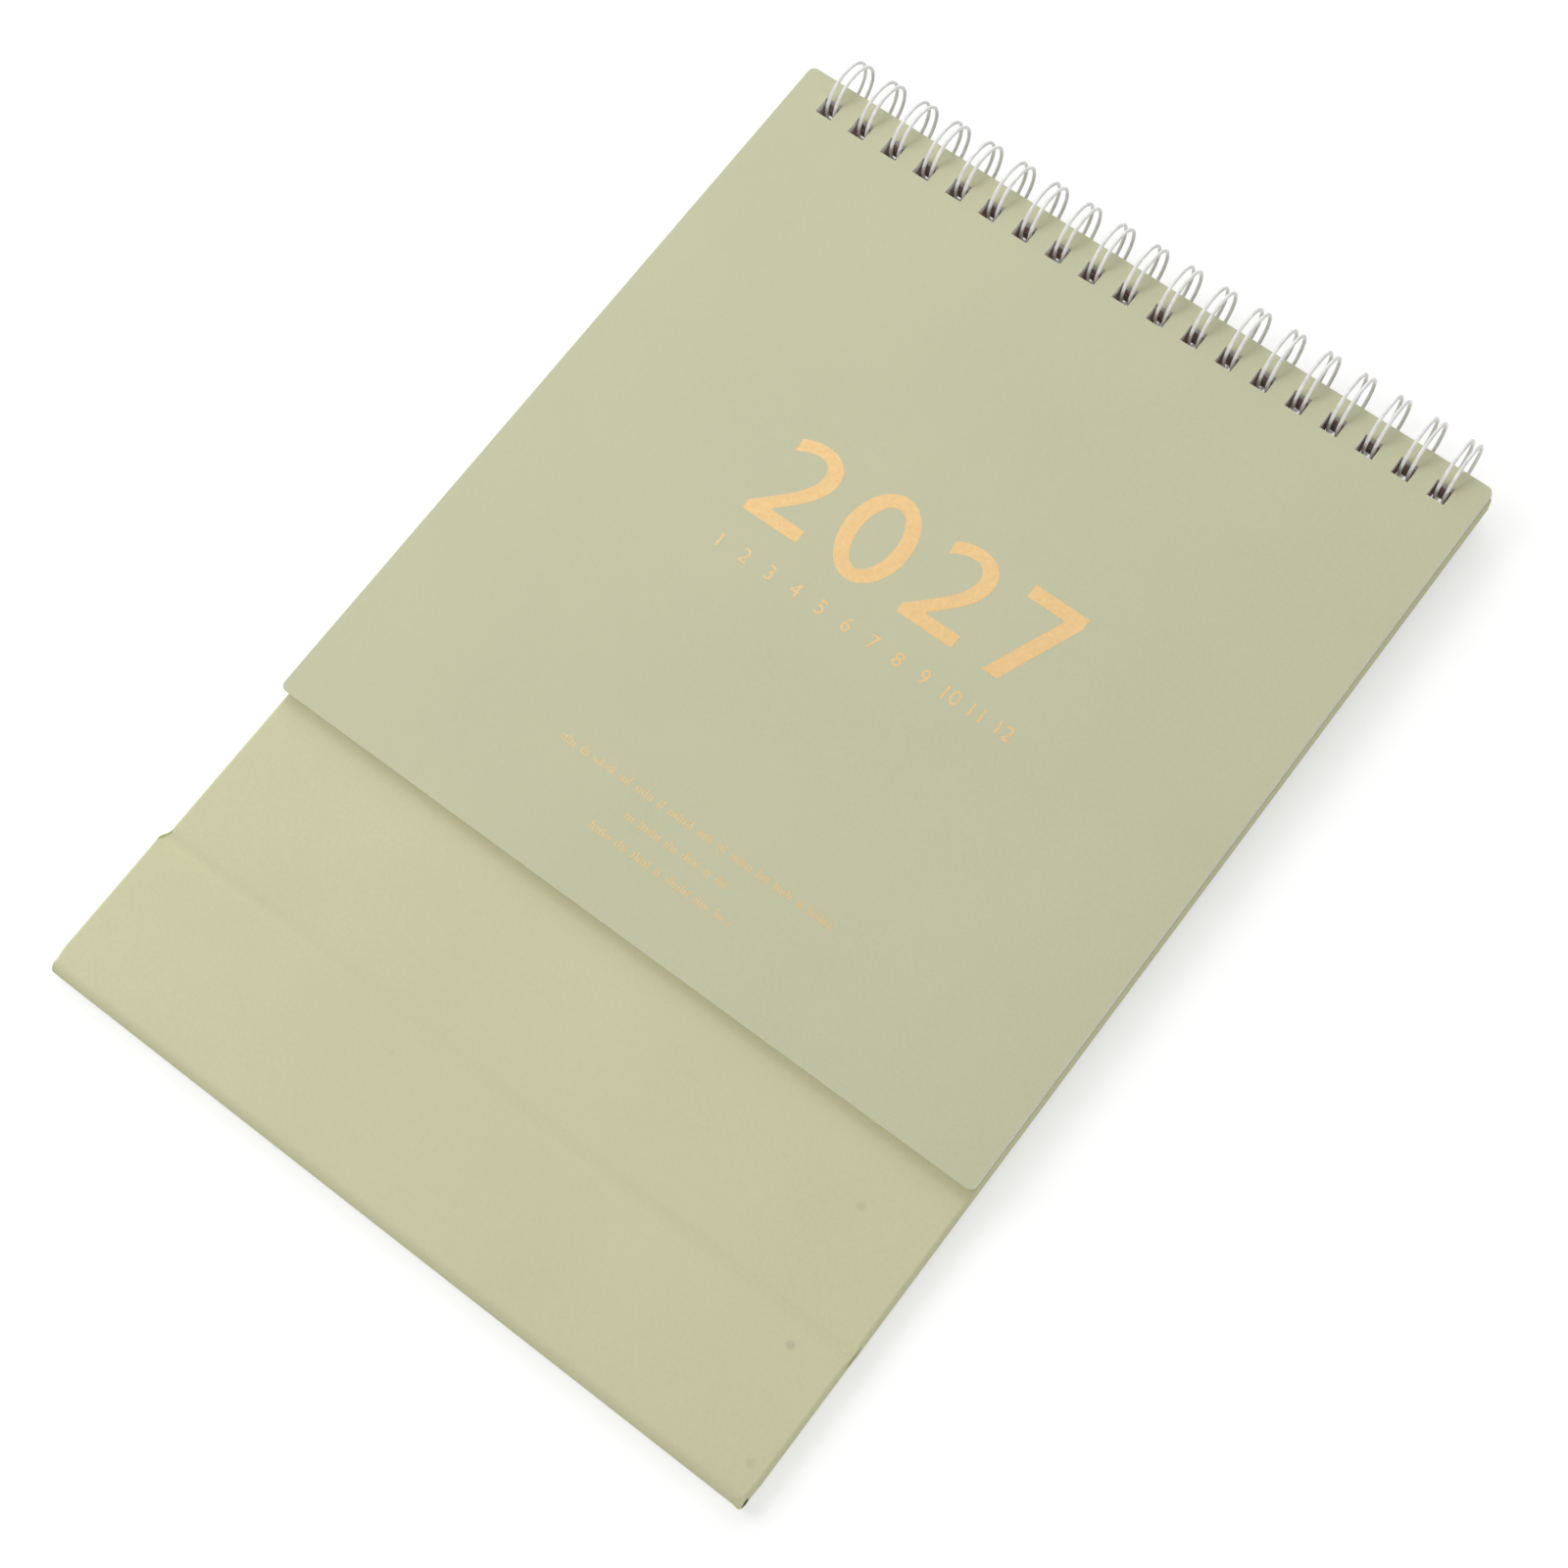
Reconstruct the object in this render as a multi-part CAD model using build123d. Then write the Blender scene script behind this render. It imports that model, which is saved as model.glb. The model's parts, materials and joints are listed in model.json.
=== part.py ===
from build123d import *
import math
import os

# Wire-bound flip calendar on a folding card stand, stored flat. All sizes in millimetres.
# Page frame: the axis of the wire loops is the line y = 0, z = 0. X runs along the wire,
# Y up the page and Z out of the page. lay_down() sets the finished pieces on the table.

# Printed sheets
sheet_width = 170.0
sheet_height = 175.4
sheet_corner = 1.5
cover_thickness = 0.30
leaf_thickness = 0.11
leaf_count = 12
leaf_setback = 0.5
sheet_gap = 0.03

# Twin-loop wire, three loops to the inch
wire_diameter = 0.9
loop_radius = 6.9
strand_spacing = 2.0
loop_pitch = 25.4 / 3
row_margin = 8.0
bend_radius = 1.0
end_stub = 0.8
ring_start = -54.0
ring_end = 270.0
ring_facets = 18
wire_sides = 6

# Punched holes
hole_width = 4.0
hole_height = 4.1
hole_clearance = 0.25
edge_setback = 0.7
panel_setback = 0.6
trim_offset = 0.43

# Folding stand: grey board wrapped in covering paper and lined inside
board_thickness = 1.9
paper_thickness = 0.18
lining_thickness = 0.10
panel_inset = 0.4
base_overhang = 0.55
base_shift = -0.6
lip_height = 36.7
base_depth = 34.2
layer_gap = 0.24
crease_clearance = 0.25
crease_slit = 0.1
turn_in = 14.0
lining_margin = 2.0
edge_round = 0.7
foot_draw = 0.6
foot_run = 5.0

# Widths of the stand, from the sheets that it carries
panel_width = sheet_width - 2 * panel_inset
base_width = panel_width + 2 * base_overhang

# Middle of the sheets, the panels and the base: their trim is a little off the hole row
sheet_x = -trim_offset
panel_x = trim_offset
base_x = panel_x + base_shift

# Thickness of the stack, which the loops hold centred on their axis
panel_thickness = 2 * paper_thickness + board_thickness + lining_thickness
leaf_step = leaf_thickness + sheet_gap
sheets_thickness = cover_thickness + leaf_count * leaf_step + sheet_gap
stack_thickness = sheets_thickness + 2 * panel_thickness + layer_gap
cover_face = stack_thickness / 2
front_face = cover_face - sheets_thickness
back_face = -stack_thickness / 2
middle = (front_face + back_face) / 2

# Heights on the page
sheet_top = -edge_setback
sheet_bottom = sheet_top - sheet_height
panel_top = sheet_top - panel_setback
crease = sheet_bottom - lip_height
fold = crease - base_depth
fold_radius = panel_thickness + layer_gap / 2

# Room that the boards leave at a crease, so that they don't meet when the stand is set up
base_angle = math.acos(base_depth / -crease)
crease_room = (panel_thickness - paper_thickness) / math.tan(base_angle / 2) + crease_clearance
panel_low = crease + crease_room
base_high = crease - crease_room

# Hole row: the holes start where the inside of the loops leaves the outermost face
loop_inside = loop_radius - wire_diameter / 2 - hole_clearance
hole_top = -math.sqrt(loop_inside**2 - (stack_thickness / 2) ** 2)
loop_count = int((sheet_width - 2 * row_margin) / loop_pitch) + 1
loop_places = [(k - (loop_count - 1) / 2) * loop_pitch for k in range(loop_count)]

# On the table the part leans on the loops and on the lower edge of the fold
loop_outside = loop_radius + wire_diameter / 2
rest_reach = -(fold + fold_radius)
rest_lean = math.asin(loop_outside / math.hypot(rest_reach, back_face)) - math.atan2(-back_face, rest_reach)
rest_low_end = fold * math.cos(rest_lean) - middle * math.sin(rest_lean)
rest_shift = -(loop_outside + rest_low_end) / 2
rest_place = Location((0, rest_shift, loop_outside), (math.degrees(rest_lean), 0, 0))


def lay_down(shape):
    """A finished piece, moved from the page frame to its place on the table."""
    return rest_place * shape


def slab(width, low, high, bottom, top, x=0.0):
    """Rectangular block between two heights on the page and two depths."""
    return Pos(x, (low + high) / 2, (bottom + top) / 2) * Box(width, high - low, top - bottom)


# Printed sheets


def sheet(top_face, thickness, height, rounded):
    """One punched sheet whose upper face lies at top_face."""
    outline = Rectangle(sheet_width, height)
    if rounded:
        outline = fillet(outline.vertices(), sheet_corner)
    else:
        outline = chamfer(outline.vertices(), sheet_corner / 2)
    row = sheet_top - height / 2
    hole = Rectangle(hole_width, hole_height)
    outline -= [Pos(x - sheet_x, hole_top - hole_height / 2 - row) * hole for x in loop_places]
    return Pos(sheet_x, row, top_face - thickness) * extrude(outline, thickness)


def sheets():
    """The cover and, below it, the month leaves in order."""
    pieces = {"cover_sheet": sheet(cover_face, cover_thickness, sheet_height, rounded=True)}
    leaf_height = sheet_height - leaf_setback
    for k in range(leaf_count):
        top_face = cover_face - cover_thickness - sheet_gap - k * leaf_step
        pieces[f"month_leaf_{k + 1:02d}"] = sheet(top_face, leaf_thickness, leaf_height, rounded=False)
    return pieces


# Twin-loop wire


def ring_point(x, degrees):
    """Point on a loop. Zero degrees is at the holes, 90 over the top."""
    turn = math.radians(degrees)
    return Vector(x, -loop_radius * math.cos(turn), loop_radius * math.sin(turn))


def ring_direction(degrees):
    """Direction of travel on a loop."""
    turn = math.radians(degrees)
    return Vector(0, math.sin(turn), math.cos(turn))


def loop_points(x):
    """Middle line of one twin loop, from the crossbar on its left to the one on its right."""
    across = Vector(1, 0, 0)
    step = (ring_end - ring_start) / ring_facets
    angles = [ring_start + k * step for k in range(ring_facets + 1)]
    out = [ring_point(x - strand_spacing / 2, angle) for angle in angles]
    back = [ring_point(x + strand_spacing / 2, angle) for angle in reversed(angles)]
    heel = ring_direction(ring_start) * -bend_radius
    half_bend = 1 - math.sqrt(0.5)
    into = [out[0] + heel - across * bend_radius]
    into.append(out[0] + heel * (1 - half_bend) - across * (bend_radius * half_bend))
    leave = [back[-1] + heel * (1 - half_bend) + across * (bend_radius * half_bend)]
    leave.append(back[-1] + heel + across * bend_radius)
    tip = ring_direction(ring_end) * (strand_spacing / 2 * math.sqrt(0.75))
    quarter_space = across * (strand_spacing / 4)
    middle_of_tip = (out[-1] + back[0]) * 0.5
    bow = [middle_of_tip + tip - quarter_space, middle_of_tip + tip + quarter_space]
    return into + out + bow + back + leave


def least_gap(points):
    """Smallest clear space between two stretches of the wire that aren't neighbours along it."""
    spots = []
    travelled = 0.0
    for a, b in zip(points, points[1:]):
        length = (b - a).length
        count = max(1, round(2 * length / wire_diameter))
        spots += [(travelled + length * k / count, a + (b - a) * (k / count)) for k in range(count)]
        travelled += length
    apart = 4 * wire_diameter
    gaps = [(p - q).length for s, p in spots for t, q in spots if t - s > apart]
    return min(gaps) - wire_diameter


def wire_binding():
    """One unbroken wire bent into twin loops, joined by short crossbars under the back panel."""
    points = [point for x in loop_places for point in loop_points(x)]
    stub = Vector(end_stub, 0, 0)
    points = [points[0] - stub] + points + [points[-1] + stub]
    two_loops = loop_points(loop_places[0]) + loop_points(loop_places[1])
    print(f"wire_binding: {loop_count} loops, least gap to itself {least_gap(two_loops):.2f} mm")
    outward = ring_point(0, ring_start).normalized()
    section = Plane(origin=points[0], x_dir=outward, z_dir=Vector(1, 0, 0)) * RegularPolygon(
        wire_diameter / 2, wire_sides
    )
    return sweep(section, path=Polyline(*points), transition=Transition.RIGHT)


# Folding stand


def punches(bottom, top):
    """Cutters for the hole row of a panel."""
    return [slab(hole_width, hole_top - hole_height, hole_top, bottom, top, x) for x in loop_places]


def wrapped_edges(block, top_is_turned):
    """Edges of the outer face that the covering paper goes round."""
    outer = block.faces().sort_by(Axis.Z)[-1].edges()
    sides = outer.filter_by(Axis.Y)
    return sides + outer.sort_by(Axis.Y)[-1:] if top_is_turned else sides


def panel(width, x, board_low, board_high, top_is_turned):
    """Board, covering paper and lining of one panel of the upper layer."""
    board_face = front_face - paper_thickness
    board_back = board_face - board_thickness
    turn_back = board_back - paper_thickness
    wrap_high = board_high + paper_thickness if top_is_turned else board_high
    window_high = wrap_high - turn_in if top_is_turned else board_high

    board = slab(width - 2 * paper_thickness, board_low, board_high, board_back, board_face, x)
    board = chamfer(wrapped_edges(board, top_is_turned), edge_round - paper_thickness)

    covering = slab(width, board_low, wrap_high, turn_back, front_face, x)
    covering = fillet(wrapped_edges(covering, top_is_turned), edge_round)
    covering -= board
    covering -= slab(width - 2 * turn_in, board_low, window_high, turn_back, board_back, x)

    lining = slab(width - 2 * turn_in, board_low, window_high, turn_back, board_back, x)
    lining_high = wrap_high - lining_margin if top_is_turned else board_high
    lining_width = width - 2 * lining_margin
    lining += slab(lining_width, board_low, lining_high, turn_back - lining_thickness, turn_back, x)
    return board, covering, lining


def paper_strip(width, x, low, high):
    """Stretch of covering paper that bridges the room at a crease."""
    return slab(width - 2 * edge_round, low, high, front_face - paper_thickness, front_face, x)


def foot_cutters(width):
    """Cutters that draw in the corners of a piece of the base at the foot."""
    low = fold + fold_radius
    side = width / 2
    outline = Polygon(
        (side - foot_draw, low), (side + foot_draw, low), (side + foot_draw, low + foot_run),
        (side, low + foot_run), align=None,
    )
    right = Pos(0, 0, back_face) * extrude(outline, stack_thickness)
    return [Pos(base_x, 0, 0) * cutter for cutter in (right, mirror(right, about=Plane.YZ))]


def front_panel():
    """Panel behind the sheets, with the hole row at its top and the crease at its foot."""
    board, covering, lining = panel(panel_width, panel_x, panel_low, panel_top - paper_thickness, True)
    cutters = punches(front_face - panel_thickness, front_face)
    return {"board": board - cutters, "covering": covering - cutters, "lining": lining - cutters}


def base_panel():
    """Half of the base, from the crease to the rounded fold at the foot."""
    board, covering, lining = panel(base_width, base_x, fold + fold_radius, base_high, False)
    board -= foot_cutters(base_width - 2 * paper_thickness)
    covering -= foot_cutters(base_width)
    return {"board": board, "covering": covering + fold_band(), "lining": lining}


def fold_band():
    """Upper half of the paper band that rounds the fold."""
    centre = Pos(fold + fold_radius, middle)
    ring = Circle(fold_radius) - Circle(fold_radius - paper_thickness)
    quarter = Pos(-fold_radius / 2, (fold_radius + crease_slit / 2) / 2) * Rectangle(
        fold_radius, fold_radius - crease_slit / 2
    )
    profile = Plane.YZ * centre * (ring & quarter)
    width = base_width - 2 * edge_round
    return Pos(base_x - width / 2, 0, 0) * extrude(profile, width, dir=(1, 0, 0))


def stand():
    """The upper layer, below it the same two panels mirrored, and the paper at the creases."""
    lower_layer = Plane.XY.offset(middle)
    pieces = {}
    for upper, lower, parts in (
        ("front", "back", front_panel()),
        ("base_front", "base_rear", base_panel()),
    ):
        for name, shape in parts.items():
            pieces[f"{upper}_{name}"] = shape
            pieces[f"{lower}_{name}"] = mirror(shape, about=lower_layer)
    pieces["front_covering"] += paper_strip(panel_width, panel_x, crease + crease_slit / 2, panel_low)
    pieces["base_front_covering"] += paper_strip(base_width, base_x, base_high, crease - crease_slit / 2)
    rear_strip = paper_strip(base_width, base_x, base_high, panel_low - crease_slit)
    pieces["base_rear_covering"] += mirror(rear_strip, about=lower_layer)
    return pieces


def main():
    os.makedirs("parts", exist_ok=True)
    pieces = {"wire_binding": wire_binding()} | sheets() | stand()
    for name, shape in pieces.items():
        export_step(lay_down(shape), f"parts/{name}.step")


main()
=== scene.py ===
import json
import math

import bmesh
import bpy
from mathutils import Matrix, Vector

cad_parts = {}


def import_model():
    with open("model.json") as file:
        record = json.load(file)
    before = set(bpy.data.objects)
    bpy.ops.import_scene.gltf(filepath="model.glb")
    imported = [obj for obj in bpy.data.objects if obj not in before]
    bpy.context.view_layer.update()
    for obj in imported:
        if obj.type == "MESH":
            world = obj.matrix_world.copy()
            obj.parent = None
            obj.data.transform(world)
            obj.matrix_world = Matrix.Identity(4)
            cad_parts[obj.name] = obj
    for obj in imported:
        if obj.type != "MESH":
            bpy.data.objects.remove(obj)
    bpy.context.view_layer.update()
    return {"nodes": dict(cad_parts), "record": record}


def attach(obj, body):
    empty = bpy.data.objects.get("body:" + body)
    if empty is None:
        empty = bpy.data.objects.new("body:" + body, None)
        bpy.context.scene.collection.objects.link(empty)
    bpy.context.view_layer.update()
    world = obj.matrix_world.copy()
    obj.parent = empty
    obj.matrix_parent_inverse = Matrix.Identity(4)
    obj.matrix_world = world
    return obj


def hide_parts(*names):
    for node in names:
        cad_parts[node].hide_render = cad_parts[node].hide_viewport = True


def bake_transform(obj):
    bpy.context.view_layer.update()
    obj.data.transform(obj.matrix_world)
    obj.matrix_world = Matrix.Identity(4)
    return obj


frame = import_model()

# Sizes in millimetres, in the page frame: the axis of the loops is the line y = 0, z = 0,
# X runs along the wire, Y up the page and Z out of the page.
MM = 0.001
SHEET_WIDTH, SHEET_X = 170.0, -0.43
SHEET_BOTTOM = -176.1
COVER_FACE, COVER_THICKNESS = 3.485, 0.30
LEAF_STEP, SHEET_GAP, LEAF_COUNT = 0.14, 0.03, 12
WIRE_DIAMETER, LOOP_RADIUS, STRAND_SPACING, LOOP_PITCH = 0.8, 6.9, 2.0, 25.4 / 3
LOOP_COUNT, RING_START, RING_END, BEND_RADIUS, END_STUB = 19, -54.0, 270.0, 1.0, 0.8
HOLE_WIDTH, HOLE_HEIGHT, HOLE_TOP = 4.0, 4.1, -5.128
PANEL_TOP, PANEL_LEFT, PANEL_RIGHT = -1.3, -84.17, 85.03
BASE_LEFT, BASE_RIGHT = -85.32, 84.98
CREASE, FOLD = -212.8, -247.0
FRONT_FACE, MIDDLE, FOLD_RADIUS = 1.475, -1.005, 2.48
PAPER, WRAP_DEPTH, TURN_IN, EDGE_ROUND = 0.18, 2.26, 14.0, 0.7
CREASE_ROOM, FOOT_DRAW, FOOT_RUN = 2.81, 0.25, 3.0
BOARD_END = FOLD + FOLD_RADIUS
PANEL_SIDES, BASE_SIDES = (PANEL_LEFT, PANEL_RIGHT), (BASE_LEFT, BASE_RIGHT)
BACK_FACE = 2 * MIDDLE - FRONT_FACE
SKIN_THICKNESS = PAPER - 0.02

# Tones as sRGB values of 0 to 255. A pair or a triple runs from dark to light.
COVERING_TONE = (208, 206, 168)
COVER_TONE, CARD_EDGE_TONE = (200, 200, 168), (228, 226, 210)
LEAF_TONE, LINING_TONE = (240, 239, 233), (232, 229, 216)
BOARD_TONES = (176, 146, 140), (214, 188, 182), (230, 210, 204)
WIRE_TONES = (226, 225, 222), (243, 243, 241)
FOIL_TONES = (211, 177, 120), (223, 189, 135)
INK_TONES = (86, 92, 70), (108, 114, 90)
# Share of light that a dark mark on the covering keeps; also the tone that the painted shade along
# the crease darkens towards
MARK_AND_PAINTED_SHADE = 0.62
# Faint marks on the covering: x, y, radius in mm, depth of tone
PAPER_MARKS = [
    (69.5, -190.0, 1.3, 0.25),
    (74.5, -218.3, 1.3, 0.4),
    (81.7, -239.4, 1.4, 0.22),
    (-20.0, -220.0, 0.9, 0.12),
]

# Light: levels of sky and floor, and the place and size in metres and power in watts of each lamp
SKY_LEVEL = 0.325
FLOOR_TONES = 0.60, 0.62
FLOOR_LIFT_NEAR, FLOOR_LIFT_FAR = 0.53, 0.80
LAMPS = (
    ("key", (-0.62, -0.20, 0.62), (0.6, 0.6), 3.4),
    ("back", (-0.55, 0.85, 0.75), (1.2, 1.1), 8.4),
    ("fill", (1.4, -0.9, 0.45), (1.4, 0.8), 9.9),
)

# Camera fitted to the photograph: its place from the cover's lower left corner, its axes in the
# page frame, and its focal length and the photograph's width in pixels
CAMERA_OFFSET = (234.7, -88.3, 534.4)
CAMERA_FORWARD, CAMERA_RIGHT = (-0.2485, 0.2311, -0.9407), (0.793, 0.6062, -0.0606)
FOCAL_PIXELS, PHOTO_PIXELS, SENSOR_WIDTH = 2983.5, 1600.0, 36.0

# Degrees between faces above which an edge is drawn sharp
SMOOTH_ANGLE, WIRE_SMOOTH_ANGLE = 40.0, 50.0
# Height of a figure set at a text size of 1
FIGURE_HEIGHT = 0.72
BOX_FACES = ((0, 1, 2, 3), (4, 7, 6, 5), (0, 4, 5, 1), (1, 5, 6, 2), (2, 6, 7, 3), (3, 7, 4, 0))

# Where the page lies on the table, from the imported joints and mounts
joints = {joint["name"]: joint for joint in frame["record"]["behaviour"]["joints"]}
mounts = {mount["name"]: mount for mount in frame["record"]["mounts"]}
LOOP_AXIS = Vector(joints["cover_flip"]["pos_m"])
back_normal = mounts["base_underside"]["axis"]
LEAN = math.atan2(back_normal[1], -back_normal[2])
TO_WORLD = Matrix.Translation(LOOP_AXIS) @ Matrix.Rotation(LEAN, 4, "X")


def world(x, y, z):
    """A point of the page frame, in metres on the table."""
    return TO_WORLD @ Vector((x * MM, y * MM, z * MM))


def loop_places():
    return [(k - (LOOP_COUNT - 1) / 2) * LOOP_PITCH for k in range(LOOP_COUNT)]


def smooth(t):
    t = min(1.0, max(0.0, t))
    return t * t * (3 - 2 * t)


# Materials


class Nodes:
    """A material's node tree, with short calls to add and link nodes."""

    def __init__(self, name):
        self.material = bpy.data.materials.new(name)
        self.material.use_nodes = True
        self.tree = self.material.node_tree
        self.shader = self.tree.nodes["Principled BSDF"]
        self.coords = self.tree.nodes.new("ShaderNodeTexCoord")

    def add(self, kind, inputs=None, **settings):
        node = self.tree.nodes.new(kind)
        for key, value in settings.items():
            setattr(node, key, value)
        for key, value in (inputs or {}).items():
            if isinstance(value, bpy.types.NodeSocket):
                self.tree.links.new(value, node.inputs[key])
            else:
                node.inputs[key].default_value = value
        return node

    def link(self, source, target):
        self.tree.links.new(source, target)

    def noise(self, scale, detail=3.0, rough=0.55):
        inputs = {"Vector": self.coords.outputs["Object"], "Scale": scale}
        inputs |= {"Detail": detail, "Roughness": rough}
        return self.add("ShaderNodeTexNoise", inputs).outputs["Fac"]

    def ramp(self, value, stops):
        node = self.add("ShaderNodeValToRGB", {"Fac": value})
        node.color_ramp.elements[0].position = stops[0][0]
        node.color_ramp.elements[0].color = stops[0][1]
        node.color_ramp.elements[1].position = stops[-1][0]
        node.color_ramp.elements[1].color = stops[-1][1]
        for position, color in stops[1:-1]:
            node.color_ramp.elements.new(position).color = color
        return node.outputs["Color"]

    def mix(self, amount, a, b):
        node = self.add("ShaderNodeMix", data_type="RGBA")
        for socket, value in ((node.inputs[0], amount), (node.inputs[6], a), (node.inputs[7], b)):
            if isinstance(value, bpy.types.NodeSocket):
                self.link(value, socket)
            else:
                socket.default_value = value
        return node.outputs[2]

    def roughness(self, value, low, high):
        node = self.add("ShaderNodeMapRange", {"Value": value, "To Min": low, "To Max": high})
        self.link(node.outputs["Result"], self.shader.inputs["Roughness"])

    def bump(self, height, strength, distance):
        inputs = {"Height": height, "Strength": strength, "Distance": distance}
        node = self.add("ShaderNodeBump", inputs)
        self.link(node.outputs["Normal"], self.shader.inputs["Normal"])

    def set(self, **values):
        for key, value in values.items():
            self.shader.inputs[key.replace("_", " ")].default_value = value


def rgba(red, green, blue):
    """Linear colour of an sRGB value of 0 to 255."""

    def linear(value):
        value /= 255
        return value / 12.92 if value <= 0.04045 else ((value + 0.055) / 1.055) ** 2.4

    return (linear(red), linear(green), linear(blue), 1.0)


def scaled(color, factor):
    return tuple(min(1.0, channel * factor) for channel in color[:3]) + (1.0,)


def paper_color(nodes, base, spread, cloud_scale=26.0, fibre_scale=1500.0):
    """Paper tone that drifts slowly over the sheet and is speckled by its fibres."""
    cloud = nodes.noise(cloud_scale, 4.0)
    drift = nodes.ramp(cloud, [(0.3, scaled(base, 1 - spread)), (0.7, scaled(base, 1 + spread))])
    fibre = nodes.noise(fibre_scale, 2.0, 0.7)
    dark, light = scaled(base, 1 - 1.6 * spread), scaled(base, 1 + 1.6 * spread)
    speck = nodes.ramp(fibre, [(0.35, dark), (0.65, light)])
    return nodes.mix(0.35, drift, speck)


def paper_finish(nodes, rough_low, rough_high, bump_strength, fibre_scale=1500.0):
    """Roughness and tooth of uncoated paper."""
    tooth = nodes.noise(fibre_scale, 3.0, 0.65)
    nodes.roughness(tooth, rough_low, rough_high)
    nodes.bump(tooth, bump_strength, 0.00004)
    nodes.set(Specular_IOR_Level=0.25)


def upright_mask(nodes, low, high):
    """1 on faces that look out of the page, 0 on cut edges and undersides."""
    split = nodes.add("ShaderNodeSeparateXYZ", {"Vector": nodes.coords.outputs["Normal"]})
    span = {"Value": split.outputs["Z"], "From Min": low, "From Max": high}
    return nodes.add("ShaderNodeMapRange", span).outputs["Result"]


def crease_painted_shade(nodes):
    """Share of a faint line of painted shade along the front crease, least at its left end."""
    middle = world(0, CREASE - 0.3, FRONT_FACE)
    split = nodes.add("ShaderNodeSeparateXYZ", {"Vector": nodes.coords.outputs["Object"]})
    across = nodes.add("ShaderNodeCombineXYZ", {"Y": split.outputs["Y"], "Z": split.outputs["Z"]})
    line = {0: across.outputs["Vector"], 1: (0.0, middle.y, middle.z)}
    away = nodes.add("ShaderNodeVectorMath", line, operation="DISTANCE")
    # Painted shade at the crease: faint at the left end, deepest at the right
    left, right, faint, deepest_shade = -0.06, 0.03, 0.005, 0.075
    along = {"Value": split.outputs["X"], "From Min": left, "From Max": right}
    along |= {"To Min": faint, "To Max": deepest_shade}
    depth = nodes.add("ShaderNodeMapRange", along).outputs["Result"]
    core, edge = 0.0004, 0.0022
    near = {"Value": away.outputs["Value"], "From Min": core, "From Max": edge}
    near |= {"To Min": depth, "To Max": 0.0}
    return nodes.add("ShaderNodeMapRange", near, interpolation_type="SMOOTHSTEP").outputs["Result"]


def covering_material():
    """Sage covering paper, with a few faint marks and a faint line of painted shade at the crease.
    """
    nodes = Nodes("covering_paper")
    base = rgba(*COVERING_TONE)
    tone = paper_color(nodes, base, 0.035)
    for x, y, size, depth in PAPER_MARKS:
        centre = world(x, y, FRONT_FACE)
        ends = {0: nodes.coords.outputs["Object"], 1: tuple(centre)}
        away = nodes.add("ShaderNodeVectorMath", ends, operation="DISTANCE")
        span = {"Value": away.outputs["Value"], "From Min": 0.35 * size * MM, "From Max": size * MM}
        span |= {"To Min": depth, "To Max": 0.0}
        spot = nodes.add("ShaderNodeMapRange", span, interpolation_type="SMOOTHSTEP")
        tone = nodes.mix(spot.outputs["Result"], tone, scaled(base, MARK_AND_PAINTED_SHADE))
    # Painted shade: the covering's tone darkens along the front crease
    tone = nodes.mix(crease_painted_shade(nodes), tone, scaled(base, MARK_AND_PAINTED_SHADE))
    nodes.link(tone, nodes.shader.inputs["Base Color"])
    paper_finish(nodes, 0.62, 0.82, 0.22)
    return nodes.material


def cover_material():
    """Sage card: printed on the face, white at its cut edges and behind."""
    nodes = Nodes("cover_card")
    face = paper_color(nodes, rgba(*COVER_TONE), 0.03)
    white = paper_color(nodes, rgba(*CARD_EDGE_TONE), 0.02)
    tone = nodes.mix(upright_mask(nodes, 0.55, 0.75), white, face)
    nodes.link(tone, nodes.shader.inputs["Base Color"])
    paper_finish(nodes, 0.55, 0.72, 0.14)
    return nodes.material


def plain_paper(name, tone, spread, rough_low=0.7, rough_high=0.9, bump=0.2):
    nodes = Nodes(name)
    nodes.link(paper_color(nodes, rgba(*tone), spread), nodes.shader.inputs["Base Color"])
    paper_finish(nodes, rough_low, rough_high, bump)
    return nodes.material


def board_material():
    """Grey board: layered, flecked with recycled fibres."""
    nodes = Nodes("grey_board")
    fleck = nodes.noise(900.0, 4.0, 0.7)
    dark, middle, light = BOARD_TONES
    stops = [(0.3, rgba(*dark)), (0.5, rgba(*middle)), (0.72, rgba(*light))]
    nodes.link(nodes.ramp(fleck, stops), nodes.shader.inputs["Base Color"])
    paper_finish(nodes, 0.85, 0.95, 0.5, 900.0)
    return nodes.material


def wire_material():
    """White coating on steel wire, with the slight ripple of a dipped coat."""
    nodes = Nodes("coated_wire")
    ripple = nodes.noise(420.0, 2.0, 0.5)
    dark, light = WIRE_TONES
    tone = nodes.ramp(ripple, [(0.3, rgba(*dark)), (0.7, rgba(*light))])
    nodes.link(tone, nodes.shader.inputs["Base Color"])
    nodes.roughness(ripple, 0.18, 0.34)
    nodes.bump(ripple, 0.08, 0.00005)
    nodes.set(Coat_Weight=0.4, Coat_Roughness=0.12)
    return nodes.material


def foil_material():
    """Hot-stamped gold foil, slightly grained by the card under it."""
    nodes = Nodes("gold_foil")
    grain = nodes.noise(1200.0, 3.0, 0.65)
    dark, light = FOIL_TONES
    tone = nodes.ramp(grain, [(0.3, rgba(*dark)), (0.7, rgba(*light))])
    nodes.link(tone, nodes.shader.inputs["Base Color"])
    nodes.roughness(grain, 0.38, 0.5)
    nodes.bump(grain, 0.15, 0.00003)
    nodes.set(Metallic=0.35)
    return nodes.material


def ink_material():
    """Dark green printing ink, a little uneven."""
    nodes = Nodes("leaf_ink")
    grain = nodes.noise(1300.0, 2.0, 0.6)
    dark, light = INK_TONES
    tone = nodes.ramp(grain, [(0.3, rgba(*dark)), (0.7, rgba(*light))])
    nodes.link(tone, nodes.shader.inputs["Base Color"])
    paper_finish(nodes, 0.7, 0.85, 0.1)
    return nodes.material


# Mesh helpers


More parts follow.
